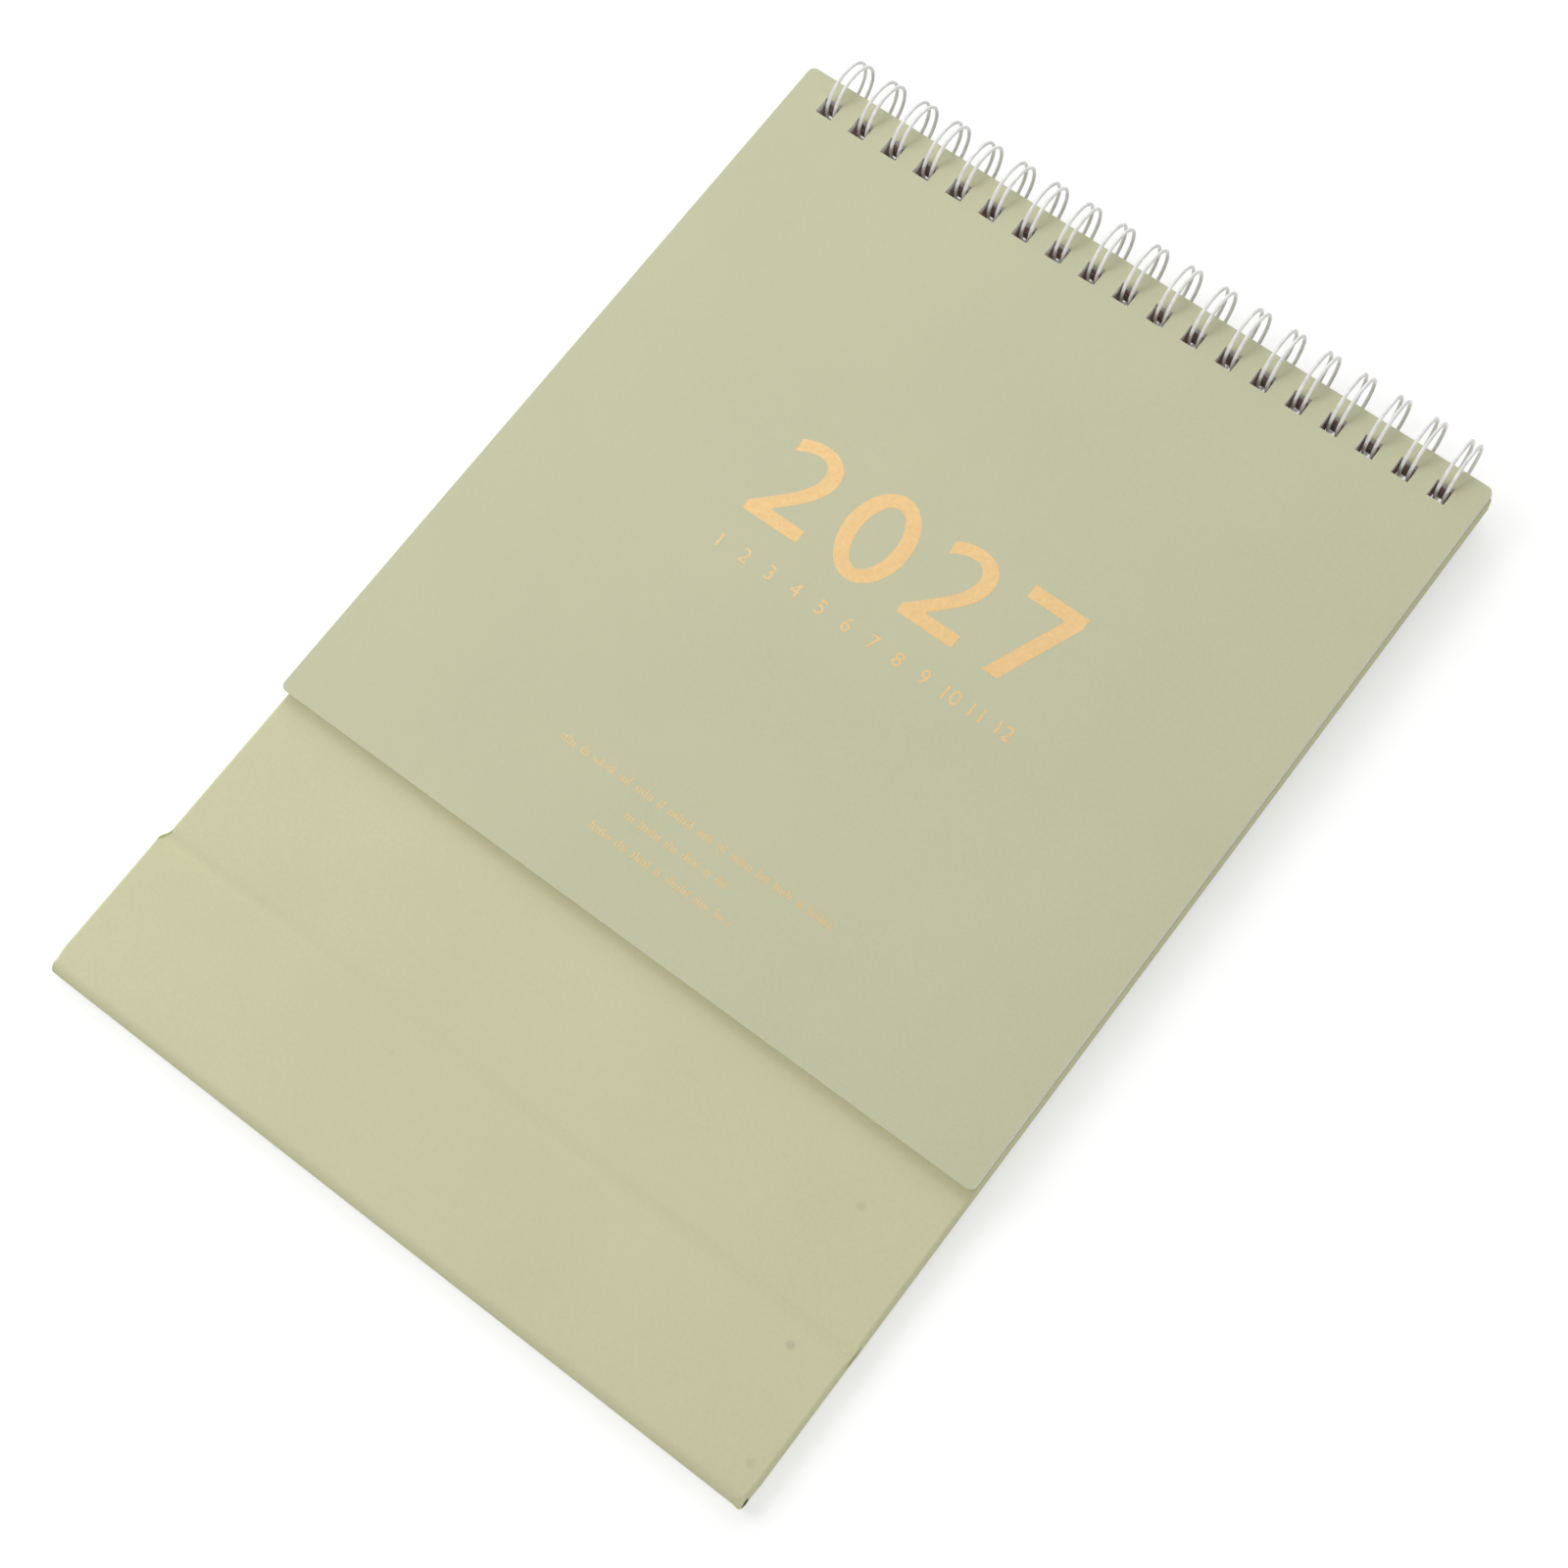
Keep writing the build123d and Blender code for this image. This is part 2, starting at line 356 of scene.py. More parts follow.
def new_piece(name, verts, faces, material):
    """Object from page-frame points, with outward faces."""
    mesh = bpy.data.meshes.new(name)
    mesh.from_pydata([world(*v) for v in verts], [], faces)
    bm = bmesh.new()
    bm.from_mesh(mesh)
    bmesh.ops.remove_doubles(bm, verts=bm.verts, dist=1e-7)
    bmesh.ops.recalc_face_normals(bm, faces=bm.faces)
    bm.to_mesh(mesh)
    bm.free()
    mesh.materials.append(material)
    mesh.shade_smooth()
    mesh.set_sharp_from_angle(angle=math.radians(SMOOTH_ANGLE))
    piece = bpy.data.objects.new(name, mesh)
    bpy.context.collection.objects.link(piece)
    return piece


def evaluated_mesh(piece):
    """New mesh of a piece, as its modifiers or curve settings shape it."""
    bpy.context.view_layer.update()
    graph = bpy.context.evaluated_depsgraph_get()
    return bpy.data.meshes.new_from_object(piece.evaluated_get(graph))


def finish_mesh(piece):
    """Applies a piece's modifiers."""
    shaped = evaluated_mesh(piece)
    old = piece.data
    piece.modifiers.clear()
    piece.data = shaped
    shaped.name = old.name
    bpy.data.meshes.remove(old)
    shaped.shade_smooth()
    shaped.set_sharp_from_angle(angle=math.radians(SMOOTH_ANGLE))


def bridge(rows):
    """Quads between rows of equal length."""
    count = len(rows[0])
    faces = []
    for r in range(len(rows) - 1):
        for k in range(r * count, (r + 1) * count - 1):
            faces.append((k, k + 1, k + count + 1, k + count))
    return [point for row in rows for point in row], faces


# Camera, floor and light


def add_camera():
    """Camera fitted to the photograph."""
    corner = Vector((SHEET_X - SHEET_WIDTH / 2, SHEET_BOTTOM, COVER_FACE))
    place = corner + Vector(CAMERA_OFFSET)
    forward = Vector(CAMERA_FORWARD).normalized()
    right = Vector(CAMERA_RIGHT)
    right = (right - forward * right.dot(forward)).normalized()
    up = right.cross(forward)
    turn = Matrix((right, up, -forward)).transposed().to_4x4()
    camera = bpy.data.objects.new("camera", bpy.data.cameras.new("camera"))
    bpy.context.collection.objects.link(camera)
    camera.data.sensor_fit = "HORIZONTAL"
    camera.data.sensor_width = SENSOR_WIDTH
    camera.data.lens = FOCAL_PIXELS * SENSOR_WIDTH / PHOTO_PIXELS
    camera.data.clip_start = 0.01
    camera.matrix_world = Matrix.Translation(world(*place)) @ Matrix.Rotation(LEAN, 4, "X") @ turn
    bpy.context.scene.camera = camera


def background_rays(nodes):
    """1 for camera, mirror and glass rays."""
    path = nodes.add("ShaderNodeLightPath")
    direct = {0: path.outputs["Is Camera Ray"], 1: path.outputs["Is Glossy Ray"]}
    first = nodes.add("ShaderNodeMath", direct, operation="MAXIMUM")
    seen = {0: first.outputs[0], 1: path.outputs["Is Transmission Ray"]}
    return nodes.add("ShaderNodeMath", seen, operation="MAXIMUM").outputs[0]


def add_floor():
    """Pale floor that goes white away from the part and keeps its shadow."""
    nodes = Nodes("floor")
    tooth = nodes.noise(60.0, 2.0)
    dark, light = FLOOR_TONES
    tone = nodes.ramp(tooth, [(0.3, (dark, dark, dark, 1)), (0.7, (light, light, light, 1))])
    nodes.link(tone, nodes.shader.inputs["Base Color"])
    nodes.set(Roughness=0.9, Specular_IOR_Level=0.0, Emission_Color=(1, 1, 1, 1))
    spot = {0: nodes.coords.outputs["Object"]}
    away = nodes.add("ShaderNodeVectorMath", spot, operation="LENGTH")
    spread = {"Value": away.outputs["Value"], "From Min": 0.35, "From Max": 1.6}
    spread |= {"To Min": FLOOR_LIFT_NEAR, "To Max": FLOOR_LIFT_FAR}
    level = nodes.add("ShaderNodeMapRange", spread).outputs["Result"]
    lift = nodes.add("ShaderNodeMath", {0: background_rays(nodes), 1: level}, operation="MULTIPLY")
    nodes.link(lift.outputs[0], nodes.shader.inputs["Emission Strength"])
    mesh = bpy.data.meshes.new("floor")
    reach = 6.0
    corners = [(-reach, -reach, 0), (reach, -reach, 0), (reach, reach, 0), (-reach, reach, 0)]
    mesh.from_pydata(corners, [], [(0, 1, 2, 3)])
    mesh.materials.append(nodes.material)
    floor = bpy.data.objects.new("floor", mesh)
    bpy.context.collection.objects.link(floor)


def add_world():
    sky = bpy.data.worlds.new("studio")
    sky.use_nodes = True
    tree = sky.node_tree
    shade = tree.nodes["Background"]
    shade.inputs["Color"].default_value = (1, 1, 1, 1)
    path = tree.nodes.new("ShaderNodeLightPath")
    seen = path.outputs["Is Camera Ray"]
    for name in ("Is Glossy Ray", "Is Transmission Ray"):
        node = tree.nodes.new("ShaderNodeMath")
        node.operation = "MAXIMUM"
        tree.links.new(seen, node.inputs[0])
        tree.links.new(path.outputs[name], node.inputs[1])
        seen = node.outputs[0]
    level = tree.nodes.new("ShaderNodeMapRange")
    level.inputs["To Min"].default_value = SKY_LEVEL
    level.inputs["To Max"].default_value = 1.0
    tree.links.new(seen, level.inputs["Value"])
    tree.links.new(level.outputs["Result"], shade.inputs["Strength"])
    bpy.context.scene.world = sky


def add_area(name, place, size, power):
    """Rectangular lamp that faces the part."""
    lamp = bpy.data.lights.new(name, "AREA")
    lamp.shape = "RECTANGLE"
    lamp.size, lamp.size_y = size
    lamp.energy = power
    piece = bpy.data.objects.new(name, lamp)
    piece.location = place
    piece.rotation_euler = (-Vector(place)).to_track_quat("-Z", "Y").to_euler()
    bpy.context.collection.objects.link(piece)


def add_light():
    add_world()
    for name, place, size, power in LAMPS:
        add_area(name, place, size, power)


# Twin-loop wire


def ring_spot(x, degrees):
    turn = math.radians(degrees)
    return Vector((x, -LOOP_RADIUS * math.cos(turn), LOOP_RADIUS * math.sin(turn)))


def ring_way(degrees):
    turn = math.radians(degrees)
    return Vector((0, math.sin(turn), math.cos(turn)))


def loop_line(x, step=7.5, bend_steps=5):
    """Middle line of one twin loop, from the crossbar on its left to the one on its right."""
    across = Vector((1, 0, 0))
    count = round((RING_END - RING_START) / step)
    angles = [RING_START + k * (RING_END - RING_START) / count for k in range(count + 1)]
    left, right = x - STRAND_SPACING / 2, x + STRAND_SPACING / 2
    heel = ring_way(RING_START)
    quarter = [math.pi / 2 * k / bend_steps for k in range(bend_steps)]
    into = []
    for turn in quarter:
        slide = across * (BEND_RADIUS * (1 - math.sin(turn)))
        into.append(ring_spot(left, RING_START) - slide - heel * (BEND_RADIUS * math.cos(turn)))
    leave = [Vector((2 * x - p.x, p.y, p.z)) for p in reversed(into)]
    tip_way = ring_way(RING_END)
    tip_middle = ring_spot(x, RING_END)
    bow, bow_steps = [], 8
    for k in range(1, bow_steps):
        turn = math.pi * k / bow_steps
        reach = tip_way * (STRAND_SPACING / 2 * math.sin(turn))
        bow.append(tip_middle - across * (STRAND_SPACING / 2 * math.cos(turn)) + reach)
    out = [ring_spot(left, angle) for angle in angles]
    back = [ring_spot(right, angle) for angle in reversed(angles)]
    return into + out + bow + back + leave


def add_wire(material):
    """One unbroken round wire, which stands for the faceted CAD wire."""
    points = [p for x in loop_places() for p in loop_line(x)]
    stub = Vector((END_STUB, 0, 0))
    points = [points[0] - stub] + points + [points[-1] + stub]
    curve = bpy.data.curves.new("binding_wire", "CURVE")
    curve.dimensions = "3D"
    curve.bevel_depth = WIRE_DIAMETER / 2 * MM
    curve.bevel_resolution = 4
    curve.use_fill_caps = True
    spline = curve.splines.new("POLY")
    spline.points.add(len(points) - 1)
    for spot, point in zip(spline.points, points):
        spot.co = (*world(*point), 1.0)
    holder = bpy.data.objects.new("binding_wire_line", curve)
    bpy.context.collection.objects.link(holder)
    mesh = evaluated_mesh(holder)
    bpy.data.objects.remove(holder)
    mesh.name = "binding_wire"
    mesh.materials.clear()
    mesh.materials.append(material)
    mesh.shade_smooth()
    mesh.set_sharp_from_angle(angle=math.radians(WIRE_SMOOTH_ANGLE))
    wire = bpy.data.objects.new("binding_wire", mesh)
    bpy.context.collection.objects.link(wire)
    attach(wire, "front_panel")
    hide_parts("wire_binding")


# Covering paper of the stand


def face_lines(left, right, round_over):
    """Places across the outer face, closer together near its ends."""
    inner = [0.15 * k for k in range(14)]
    inner += [2.3, 2.6, 3.0, 4.0, 5.0, 6.5, 8.0, 10.0, 12.5, 15.0, 18.0, 22.0, 26.0, 31.0]
    inner += [36.0, 42.0, 48.0, 54.0, 60.0, 66.0, 72.0]
    lines = [left + round_over + d for d in inner] + [(left + right) / 2]
    return lines + [right - round_over - d for d in reversed(inner)]


def wrapped_section(sides, face, back, y, inset=0.0, dip=None, extra_round=0.0):
    """Closed ring of points round a wrapped board: outer face, sides and turned-in back."""
    left, right, face, back = sides[0] + inset, sides[1] - inset, face - inset, back + inset
    most = 0.45 * abs(face - back)
    over = min(max(EDGE_ROUND + extra_round - inset, 0.02), most)
    under = min(0.35, most)
    way = 1 if face > back else -1
    ring = []
    for x in face_lines(left, right, over):
        ring.append((x, y, face - way * (dip(x, y) if dip else 0.0)))
    steps = (22.5, 45.0, 67.5, 90.0)
    for turn in steps:
        a = math.radians(turn)
        ring.append((right - over + over * math.sin(a), y, face - way * over * (1 - math.cos(a))))
    for turn in (0.0, 30.0, 60.0, 90.0):
        a = math.radians(turn)
        ring.append((right - under * (1 - math.cos(a)), y, back + way * under * (1 - math.sin(a))))
    ring.append((right - TURN_IN, y, back))
    ring.append((left + TURN_IN, y, back))
    for turn in (90.0, 60.0, 30.0, 0.0):
        a = math.radians(turn)
        ring.append((left + under * (1 - math.cos(a)), y, back + way * under * (1 - math.sin(a))))
    for turn in reversed(steps):
        a = math.radians(turn)
        ring.append((left + over - over * math.sin(a), y, face - way * over * (1 - math.cos(a))))
    return ring


def skin_faces(rings, window_rows, capped):
    """Quads between rings, less the window that the lining closes, and caps on the end rings."""
    count = len(rings[0])
    across = [x for x, _, _ in rings[0]]
    wide = 60
    window = next(k for k in range(count) if abs(across[k] - across[(k + 1) % count]) > wide)
    faces = []
    for r in range(len(rings) - 1):
        for k in range(count):
            if k == window and r in window_rows:
                continue
            n = (k + 1) % count
            faces.append((r * count + k, r * count + n, (r + 1) * count + n, (r + 1) * count + k))
    first_capped, last_capped = capped
    if first_capped:
        faces.append(tuple(range(count)))
    if last_capped:
        faces.append(tuple(range((len(rings) - 1) * count, len(rings) * count)))
    return faces


def top_rows(face, back):
    """Rounded top end of a wrapped panel."""
    rows = []
    for turn in (0.0, 22.5, 45.0, 67.5, 90.0):
        a = math.radians(turn)
        y = PANEL_TOP - EDGE_ROUND * (1 - math.sin(a))
        rows.append(wrapped_section(PANEL_SIDES, face, back, y, EDGE_ROUND * (1 - math.cos(a))))
    return list(reversed(rows))


def wrinkle(x, y, start, end, width):
    """1 along a short line on the page, fading off its sides and ends."""
    run = (end[0] - start[0], end[1] - start[1])
    length = math.hypot(*run)
    along = ((x - start[0]) * run[0] + (y - start[1]) * run[1]) / length
    off = ((y - start[1]) * run[0] - (x - start[0]) * run[1]) / length
    beyond = max(0.0, -along, along - length)
    return math.exp(-((off / width) ** 2) - (beyond / width) ** 2)


def crease_dip(x, y):
    """How far the paper sinks at the crease: a trough, a pinch on the left, a tuck on the right."""
    left_end = 1 - smooth((x + 83.0) / 75.0)
    right_end = smooth((x - 40.0) / 45.0)
    wander = 0.25 * math.sin(x * 0.11 + 0.6) + 0.15 * math.sin(x * 0.31)
    trough = math.exp(-(((y - CREASE - wander) / 1.5) ** 2))
    pinch = wrinkle(x, y, (PANEL_LEFT + 0.3, CREASE + 0.9), (PANEL_LEFT + 2.0, CREASE + 0.3), 0.25)
    tuck = wrinkle(x, y, (BASE_RIGHT - 1.9, CREASE - 0.6), (BASE_RIGHT - 0.9, CREASE - 0.1), 0.3)
    return (0.15 + 0.27 * left_end + 0.05 * right_end) * trough + 0.18 * pinch - 0.15 * tuck


def thicken(skin):
    """Gives the outer face of a paper its thickness, inwards."""
    solid = skin.modifiers.new("paper", "SOLIDIFY")
    solid.thickness = SKIN_THICKNESS * MM
    solid.offset = -1.0
    solid.use_even_offset = False
    finish_mesh(skin)


def add_skin(name, rings, window_rows, capped, material, holes):
    """Thin closed shell of covering paper from its outer rings."""
    verts = [point for ring in rings for point in ring]
    skin = new_piece(name, verts, skin_faces(rings, window_rows, capped), material)
    thicken(skin)
    if holes:
        cutter = hole_cutter(rings)
        cut = skin.modifiers.new("holes", "BOOLEAN")
        cut.operation = "DIFFERENCE"
        cut.solver = "EXACT"
        cut.object = cutter
        finish_mesh(skin)
        bpy.data.objects.remove(cutter)
    return skin


def hole_cutter(rings):
    """Boxes that cut the holes for the loops through a skin."""
    depths = [point[2] for ring in rings for point in ring]
    margin = 1.0
    low, high = min(depths) - margin, max(depths) + margin
    top, bottom = HOLE_TOP, HOLE_TOP - HOLE_HEIGHT
    verts, faces = [], []
    for place in loop_places():
        first = len(verts)
        for z in (low, high):
            for dx, y in ((-1, top), (1, top), (1, bottom), (-1, bottom)):
                verts.append((place + dx * HOLE_WIDTH / 2, y, z))
        faces += [tuple(first + k for k in face) for face in BOX_FACES]
    return new_piece("hole_cutter", verts, faces, bpy.data.materials[0])


def panel_rows(face, back):
    """Rings of a panel from its top to where the crease begins."""
    rows = top_rows(face, back)
    heights = [PANEL_TOP - 4.0, PANEL_TOP - TURN_IN, -60.0, -110.0]
    for y in heights + [SHEET_BOTTOM, -190.0, -200.0, -205.0]:
        rows.append(wrapped_section(PANEL_SIDES, face, back, y))
    return rows


def crease_stations():
    """Heights at which the paper is sampled across the crease, from above to below."""
    wide = [5.0, 4.0, 3.2, 2.8]
    fine = [0.2 * k for k in range(12, -13, -1)]
    offsets = wide + fine + [-offset for offset in reversed(wide)]
    return [CREASE + offset for offset in offsets]


def crease_sides(y):
    """Left and right side of the paper near the crease, where the panel meets the base."""
    step = smooth((CREASE + 1.3 - y) / 2.6)
    return (
        PANEL_LEFT + (BASE_LEFT - PANEL_LEFT) * step,
        PANEL_RIGHT + (BASE_RIGHT - PANEL_RIGHT) * step,
    )


def pinched_back(y, face, back):
    """Depth of the turned-in paper, pressed flat where no board fills it."""
    near = smooth((abs(y - CREASE) - 1.2) / (CREASE_ROOM - 1.2))
    pressed = face + (1.0 if back > face else -1.0)
    return pressed + (back - pressed) * near


def foot_shape(flat):
    """Sides of the base at a height above the fold's round, and how much rounder its edges are."""
    near = min(1.0, max(0.0, 1 - flat / FOOT_RUN))
    return (BASE_LEFT + FOOT_DRAW * near**1.3, BASE_RIGHT - 0.12 * near), 0.3 * near


def base_rows(face, back, front):
    """Rings of one half of the base, from below its crease to a cap on the end of its board."""

    def relief(x, y):
        return foot_relief(x, y, front)

    cap_clearance = 0.03
    rows = []
    for flat in [24.0, 18.0, 12.0] + [0.2 * k for k in range(30, 0, -1)] + [-cap_clearance]:
        sides, extra_round = foot_shape(flat)
        y = BOARD_END + flat
        rows.append(wrapped_section(sides, face, back, y, dip=relief, extra_round=extra_round))
    return rows


def add_front_skin(material):
    """Covering of the front panel and the front half of the base, with the crease between them."""
    back = FRONT_FACE - WRAP_DEPTH
    rows = panel_rows(FRONT_FACE, back)
    first_window = len(top_rows(FRONT_FACE, back)) + 1
    for y in crease_stations():
        pressed = pinched_back(y, FRONT_FACE, back)
        rows.append(wrapped_section(crease_sides(y), FRONT_FACE, pressed, y, dip=crease_dip))
    rows += base_rows(FRONT_FACE, back, True)
    window_rows = range(first_window, len(rows))
    skin = add_skin("front_covering_paper", rows, window_rows, (True, True), material, True)
    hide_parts("front_covering", "base_front_covering")
    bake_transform(skin)


def add_back_skin(material):
    """Covering of the back panel, down to the rear crease."""
    face, back = BACK_FACE, BACK_FACE + WRAP_DEPTH
    rows = panel_rows(face, back)
    first_window = len(top_rows(face, back)) + 1
    for y in [y for y in crease_stations() if y > CREASE + 0.1] + [CREASE + 0.02]:
        rows.append(wrapped_section(PANEL_SIDES, face, pinched_back(y, face, back), y))
    window_rows = range(first_window, len(rows))
    skin = add_skin("back_covering_paper", rows, window_rows, (True, False), material, True)
    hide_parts("back_covering")
    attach(skin, "back_panel")


def add_rear_skin(material):
    """Covering of the rear half of the base, between the rear crease and the fold."""
    face, back = BACK_FACE, BACK_FACE + WRAP_DEPTH
    rows = []
    for y in [CREASE + 0.02] + [y for y in crease_stations() if y < CREASE - 0.1]:
        rows.append(wrapped_section(BASE_SIDES, face, pinched_back(y, face, back), y))
    rows += base_rows(face, back, False)
    window_rows = range(len(rows))
    skin = add_skin("base_rear_covering_paper", rows, window_rows, (False, True), material, False)
    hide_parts("base_rear_covering")
    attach(skin, "base_rear")


def fold_stations():
    """Line round the fold, from front to rear: y, z, outward direction and turn.

    Its ends lie just under the coverings of the two boards.
    """
    tuck, tuck_depth = 0.3, 0.03
    stations = [(BOARD_END + tuck, FRONT_FACE - tuck_depth, 0.0, 1.0, 0.0)]
    steps = 32
    for k in range(steps + 1):
        turn = math.pi * k / steps
        y, z = BOARD_END - FOLD_RADIUS * math.sin(turn), MIDDLE + FOLD_RADIUS * math.cos(turn)
        stations.append((y, z, -math.sin(turn), math.cos(turn), turn))
    return stations + [(BOARD_END + tuck, BACK_FACE + tuck_depth, 0.0, -1.0, math.pi)]


def foot_relief(x, y, front):
    """How far the paper sinks at the foot: wrinkles at its corners, a raised tip on the right."""
    left, right = BASE_LEFT + FOOT_DRAW, BASE_RIGHT
    dips = 0.25 * wrinkle(x, y, (left + 0.3, FOLD + 0.5), (left + 1.7, FOLD), 0.25)
    dips += 0.15 * wrinkle(x, y, (left + 0.3, FOLD + 3.5), (left + 1.5, FOLD + 2.5), 0.2)
    dips += 0.16 * wrinkle(x, y, (right - 2.4, FOLD + 0.1), (right - 0.2, FOLD + 1.6), 0.22)
    below = (x - right + 2.2) * 0.57 - (y - FOLD) * 0.82
    tip = 0.18 * smooth(below / 1.2)
    return (dips if front else 0.0) - tip


def add_fold_skin(material):
    """Covering that rounds the fold at the foot, thin where no board fills it."""
    sides, extra_round = foot_shape(0.0)
    side_depth, thinned = 1.05, 0.63
    rows = []
    for y, z, out_y, out_z, turn in fold_stations():
        depth = side_depth - thinned * smooth(2 * math.sin(turn))
        over = min(EDGE_ROUND + extra_round, depth - 0.05)
        left, right = sides[0] + 0.25 * math.sin(turn) ** 2, sides[1]
        side = [(0.0, depth), (0.0, over)]
        for degrees in (67.5, 45.0, 22.5):
            a = math.radians(degrees)
            side.append((over * (1 - math.sin(a)), over * (1 - math.cos(a))))
        points = [(left + dx, drop) for dx, drop in side]
        points += [(x, foot_relief(x, y, out_z >= 0)) for x in face_lines(left, right, over)]
        points += [(right - dx, drop) for dx, drop in reversed(side)]
        rows.append([(x, y - out_y * drop, z - out_z * drop) for x, drop in points])
    verts, faces = bridge(rows)
    skin = new_piece("fold_covering_paper", verts, faces, material)
    thicken(skin)
    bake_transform(skin)


def add_crease_lining(material):
    """Lining paper pressed into the front crease, which closes it in the open stand."""
    left, right = BASE_LEFT + TURN_IN - 2.0, BASE_RIGHT - TURN_IN + 2.0
    top, bottom = CREASE - 0.4, CREASE - CREASE_ROOM + 0.03
    depth, thickness = 1.2, 0.1
    verts = []
    for z in (FRONT_FACE - depth, FRONT_FACE - depth - thickness):
        verts += [(left, bottom, z), (right, bottom, z), (right, top, z), (left, top, z)]
    strip = new_piece("front_crease_lining", verts, BOX_FACES, material)
    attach(strip, "base_front")


# Print


NOUGHT_SIDES = 48


def ring_print(outer, inner, z, thickness, first):
    """Points and faces of a flat ring, the first point being number first of its mesh."""
    count = len(outer)
    verts = []
    for height in (z, z + thickness):
        for outline in (outer, inner):
            verts += [(x, y, height) for x, y in outline]
    faces = []
    for k in range(count):
        n = (k + 1) % count
        low_out, low_in, high_out, high_in = k, count + k, 2 * count + k, 3 * count + k
        low_out_n, low_in_n, high_out_n, high_in_n = n, count + n, 2 * count + n, 3 * count + n
        faces.append((high_out, high_out_n, high_in_n, high_in))
        faces.append((low_out, low_in, low_in_n, low_out_n))
        faces.append((low_out, low_out_n, high_out_n, high_out))
        faces.append((low_in, high_in, high_in_n, low_in_n))
    return verts, [tuple(first + v for v in face) for face in faces]


def add_print(name, body, polygons, z, material, thickness=0.02, rings=()):
    """Flat shapes on a sheet, a little proud of it."""
    verts, faces = [], []
    for outer, inner in rings:
        ring_verts, ring_faces = ring_print(outer, inner, z, thickness, len(verts))
        verts += ring_verts
        faces += ring_faces
    for polygon in polygons:
        first = len(verts)
        count = len(polygon)
        verts += [(x, y, z) for x, y in polygon] + [(x, y, z + thickness) for x, y in polygon]
        faces.append(tuple(first + count + k for k in range(count)))
        faces.append(tuple(first + k for k in reversed(range(count))))
        for k in range(count):
            low, low_next = first + k, first + (k + 1) % count
            faces.append((low, low_next, low_next + count, low + count))
    piece = new_piece(name, verts, faces, material)
    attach(piece, body)
    return piece


def bezier(a, b, c, d, steps=12):
    """Points along a cubic curve."""
    points = []
    for k in range(steps + 1):
        t = k / steps
        s = 1 - t
        p, q, r, u = s**3, 3 * s * s * t, 3 * s * t * t, t**3
        points.append(tuple(p * a[i] + q * b[i] + r * c[i] + u * d[i] for i in (0, 1)))
    return points


def two_outline():
    """A plain figure 2 in a box one high, as one outline."""
    outer = bezier((0.04, 0.93), (0.36, 1.09), (0.62, 0.96), (0.62, 0.72))
    outer += bezier((0.62, 0.72), (0.62, 0.50), (0.44, 0.36), (0.235, 0.145))[1:]
    inner = bezier((0.0, 0.105), (0.32, 0.41), (0.455, 0.54), (0.455, 0.71))
    inner += bezier((0.455, 0.71), (0.455, 0.90), (0.26, 0.92), (0.05, 0.775))[1:]
    return outer + [(0.65, 0.145), (0.65, 0.0), (0.0, 0.0)] + inner


def seven_outline():
    """A plain figure 7 in a box one high."""
    top = [(0.0, 1.0), (0.63, 1.0), (0.63, 0.885)]
    return top + [(0.26, 0.0), (0.085, 0.0), (0.445, 0.852), (0.0, 0.852)]


def nought_rings():
    """Outer and inner outline of a plain figure 0."""
    rings = []
    for half_width, half_height in ((0.37, 0.515), (0.2, 0.37)):
        ring = []
        for k in range(NOUGHT_SIDES):
            turn = 2 * math.pi * k / NOUGHT_SIDES
            ring.append((0.37 + half_width * math.cos(turn), 0.5 + half_height * math.sin(turn)))
        rings.append(ring)
    return rings


def on_cover(points, x, y, size):
    """Shape of unit height, set on the cover at a place told from its lower left corner."""
    left = SHEET_X - SHEET_WIDTH / 2
    return [(left + x + px * size, SHEET_BOTTOM + y + py * size) for px, py in points]


def add_year(material):
    """Four figures in foil, in outlines of their own."""
    height, line = 20.8, 85.0
    first, second, third, fourth = 50.8, 69.3, 89.4, 108.5
    polygons = [on_cover(two_outline(), first, line, height)]
    ring = [on_cover(outline, second, line, height) for outline in nought_rings()]
    polygons.append(on_cover(two_outline(), third, line, height))
    polygons.append(on_cover(seven_outline(), fourth, line, height))
    piece = add_print("year_figures", "cover", polygons, COVER_FACE, material, rings=[ring])


def add_fine_print(material):
    """Rows of fine upright ticks, grouped like words, in place of lines of small print."""
    rows = ((24.6, 52.1, 118.6), (19.0, 72.7, 97.9), (13.4, 68.2, 102.9))
    group_sizes = (5, 3, 7, 4, 6, 2, 8)
    width, pitch, group_gap = 0.28, 0.75, 1.1
    heights = (1.4, 1.4, 2.0, 1.4, 1.4, 1.4, 2.0, 1.4)
    polygons = []
    for index, (y, start, end) in enumerate(rows):
        x, group, tick = start, index, 3 * index
        while x < end:
            for _ in range(group_sizes[group % len(group_sizes)]):
                if x + width > end:
                    break
                height = heights[tick % len(heights)]
                outline = [(0, 0), (width, 0), (width, height), (0, height)]
                polygons.append(on_cover(outline, x, y, 1.0))
                x += pitch
                tick += 1
            x += group_gap
            group += 1
    piece = add_print("fine_print", "cover", polygons, COVER_FACE, material)


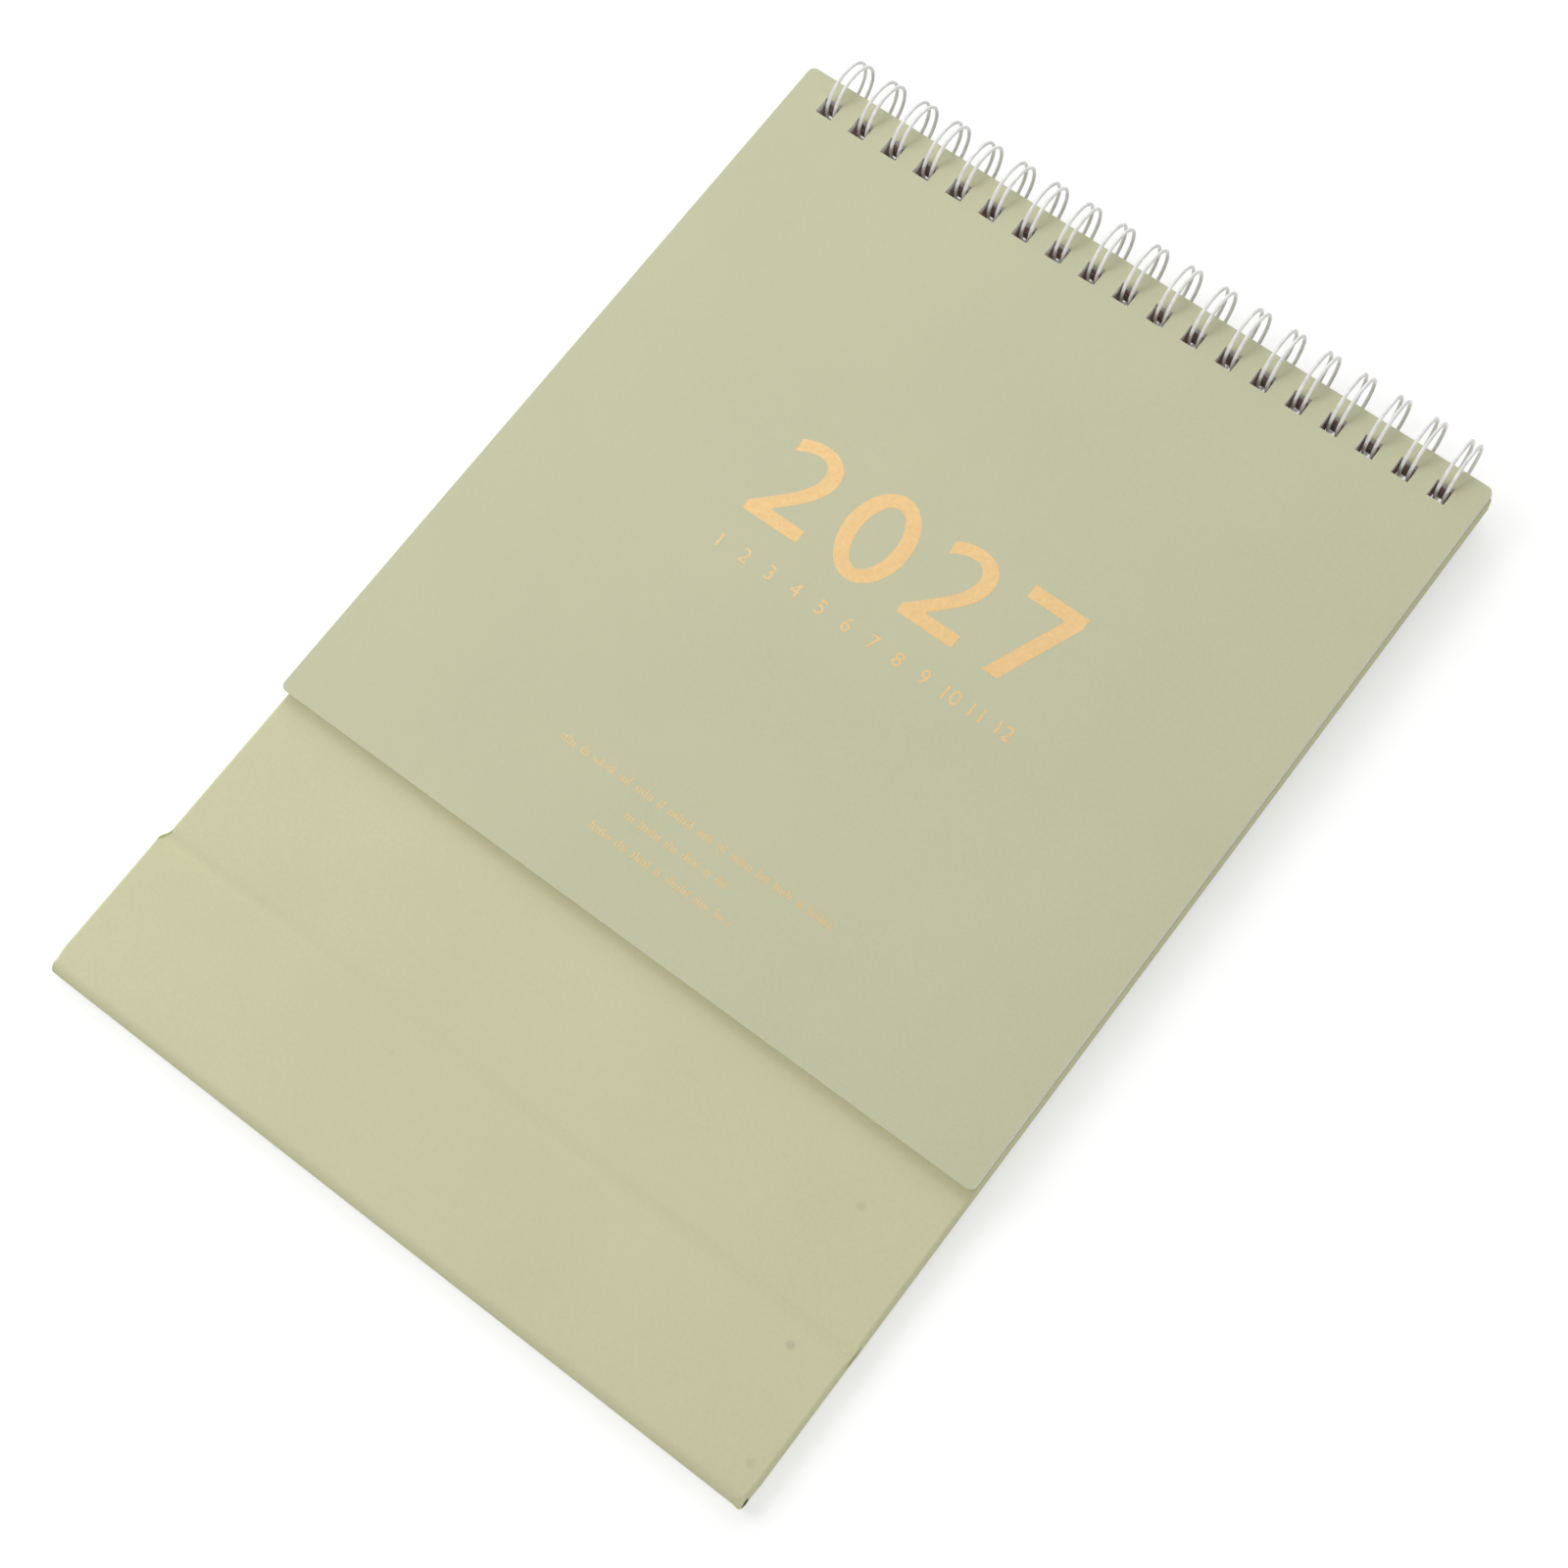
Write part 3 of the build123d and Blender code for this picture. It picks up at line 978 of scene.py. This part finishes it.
def add_numbers(name, body, entries, z, material):
    """Plain figures set in rows: each entry is text, x, y and height in page millimetres."""
    half_thickness = 0.01
    meshes = []
    for text, x, y, height in entries:
        curve = bpy.data.curves.new(name, "FONT")
        curve.body = text
        curve.align_x = "CENTER"
        curve.size = height / FIGURE_HEIGHT
        curve.resolution_u = 3
        curve.extrude = half_thickness
        holder = bpy.data.objects.new(name, curve)
        bpy.context.collection.objects.link(holder)
        mesh = evaluated_mesh(holder)
        bpy.data.objects.remove(holder)
        mesh.transform(Matrix.Translation((x, y, z + half_thickness)))
        meshes.append(mesh)
    bm = bmesh.new()
    for mesh in meshes:
        bm.from_mesh(mesh)
        bpy.data.meshes.remove(mesh)
    bmesh.ops.remove_doubles(bm, verts=bm.verts, dist=1e-4)
    merged = bpy.data.meshes.new(name)
    bm.to_mesh(merged)
    bm.free()
    merged.transform(TO_WORLD @ Matrix.Scale(MM, 4))
    merged.materials.clear()
    merged.materials.append(material)
    piece = bpy.data.objects.new(name, merged)
    bpy.context.collection.objects.link(piece)
    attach(piece, body)
    return piece


def add_month_row(material):
    """The numbers of the months below the year."""
    left = SHEET_X - SHEET_WIDTH / 2
    start, spacing, line, height = 51.5, 6.35, 75.3, 3.4
    entries = []
    for k in range(LEAF_COUNT):
        entries.append((str(k + 1), left + start + k * spacing, SHEET_BOTTOM + line, height))
    piece = add_numbers("month_figures", "cover", entries, COVER_FACE, material)


def add_leaf_print(material):
    """A plain month grid on each leaf: the month's figure above rows of day figures."""
    lengths = (31, 28, 31, 30, 31, 30, 31, 31, 30, 31, 30, 31)
    month_left, month_line, month_height = 62.0, -40.0, 16.0
    first_line, row_step, column_step, day_height = -66.0, 19.5, 21.0, 5.0
    week, column = 7, 5
    for k in range(LEAF_COUNT):
        top = COVER_FACE - COVER_THICKNESS - SHEET_GAP - k * LEAF_STEP
        entries = [(str(k + 1), SHEET_X - month_left, month_line, month_height)]
        for day in range(lengths[k]):
            row, place = divmod(column + day, week)
            x, y = SHEET_X + (place - week // 2) * column_step, first_line - row * row_step
            entries.append((str(day + 1), x, y, day_height))
        column = (column + lengths[k]) % week
        leaf = f"leaf_{k + 1:02d}"
        piece = add_numbers(f"{leaf}_figures", leaf, entries, top, material)


# The part


def dress_nodes(lining):
    """Materials of the CAD nodes that stay in view."""
    leaf = plain_paper("leaf_paper", LEAF_TONE, 0.015)
    board = board_material()
    cover = cover_material()
    for name, node in frame["nodes"].items():
        if name == "cover_sheet":
            material = cover
        elif name.startswith("month_leaf"):
            material = leaf
        elif name.endswith("_lining"):
            material = lining
        elif name.endswith("_board"):
            material = board
        else:
            continue
        for slot in node.material_slots:
            slot.material = material


bpy.context.scene.view_settings.view_transform = "Standard"
add_camera()
add_floor()
add_light()
lining_paper = plain_paper("lining_paper", LINING_TONE, 0.02)
dress_nodes(lining_paper)
add_wire(wire_material())
covering = covering_material()
add_front_skin(covering)
add_back_skin(covering)
add_rear_skin(covering)
add_fold_skin(covering)
add_crease_lining(lining_paper)
foil = foil_material()
add_year(foil)
add_month_row(foil)
add_fine_print(foil)
add_leaf_print(ink_material())
